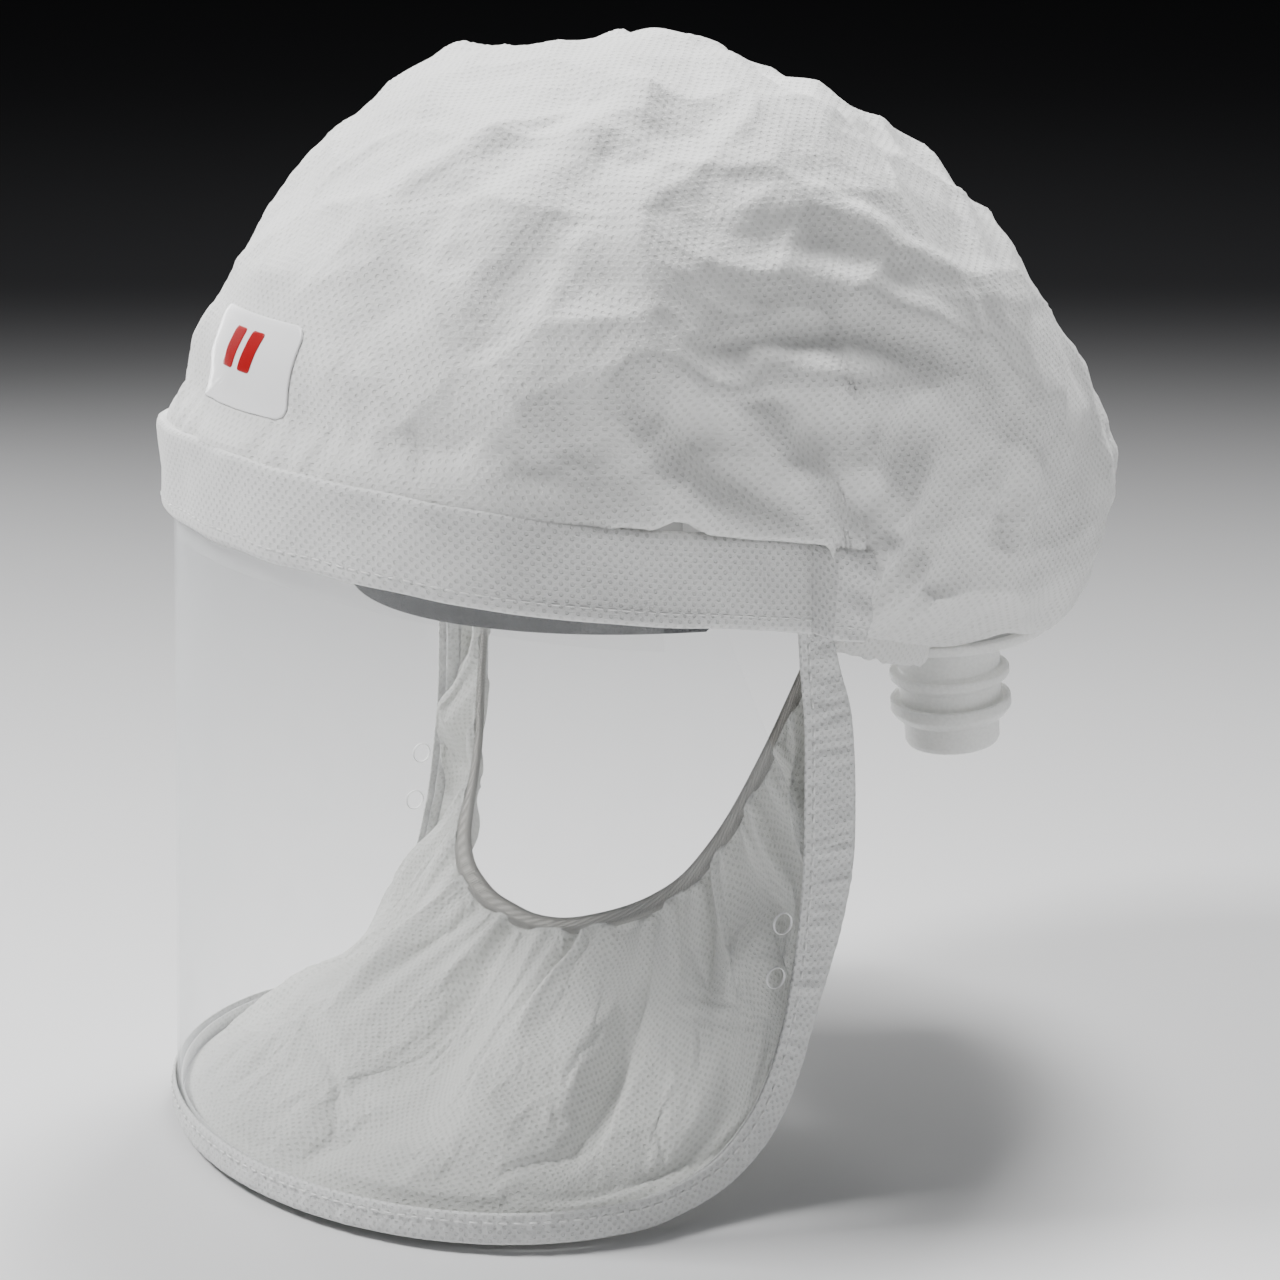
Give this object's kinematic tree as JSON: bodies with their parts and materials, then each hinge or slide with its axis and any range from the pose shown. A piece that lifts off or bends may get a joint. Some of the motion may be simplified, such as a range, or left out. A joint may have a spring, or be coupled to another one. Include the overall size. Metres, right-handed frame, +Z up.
{
  "type": "powered air respirator hood",
  "caption": "Powered air respirator headcover: fabric hood, clear wrap-round visor, chin skirt, head suspension, air duct and a ribbed hose connector at the nape.",
  "frame": {"origin": "centre of the headband ring, where the wearer's head sits", "axes": "+Z up towards the crown, -Y the way the wearer faces, +X the wearer's left"},
  "size_m": [0.2117, 0.2916, 0.3075],
  "materials": {
    "hood_fabric": "white point-bonded nonwoven",
    "skirt_fabric": "thin translucent nonwoven",
    "binding": "folded nonwoven tape with a stitch line",
    "elastic": "overlocked elastic",
    "label": "smooth white film with a plain red mark",
    "clear_visor": "clear polished sheet",
    "film": "translucent film",
    "foam": "open-cell foam",
    "suspension_plastic": "fine textured moulding",
    "strap_plastic": "flexible moulding",
    "connector_plastic": "milky translucent moulding",
    "duct_plastic": "moulded sheet",
    "seal_rubber": "matt moulded rubber",
    "screw_steel": "plain"
  },
  "bodies": {
    "hood": {"hood_crown": "hood_fabric", "nape_panel": "hood_fabric", "brow_band": "hood_fabric", "front_label": "label", "nape_casing": "hood_fabric", "nape_elastic": "elastic", "chin_skirt": "skirt_fabric", "face_seal_elastic": "elastic", "visor": "clear_visor", "side_binding_left": "binding", "side_binding_right": "binding", "bottom_binding": "binding", "visor_seal_strip": "film", "headband_front": "suspension_plastic", "comfort_pad": "foam", "adjuster_pegs": "suspension_plastic", "strap_studs": "suspension_plastic", "temple_spacer_left": "suspension_plastic", "temple_spacer_right": "suspension_plastic", "temple_rivets": "suspension_plastic", "hose_connector": "connector_plastic", "connector_gasket": "seal_rubber", "clamp_ring": "duct_plastic", "clamp_screws": "screw_steel", "duct_boot": "seal_rubber", "boot_clip": "duct_plastic", "duct_channel": "duct_plastic", "duct_cover": "duct_plastic", "air_lip": "duct_plastic", "duct_bracket": "suspension_plastic"},
    "rear_cradle": {"headband_rear": "suspension_plastic", "nape_pad": "foam"},
    "crown_straps": {"crown_strap_side": "strap_plastic", "crown_strap_front": "strap_plastic", "crown_button": "suspension_plastic", "crown_pad": "foam"}
  },
  "joints": [
    {"name": "headband_size", "type": "slide", "parent": "hood", "child": "rear_cradle", "axis": [0, 1, 0], "range_m": [-0.014, 0.005]},
    {"name": "crown_height", "type": "slide", "parent": "hood", "child": "crown_straps", "axis": [0, 0, 1], "range_m": [-0.015, 0.002]}
  ]
}
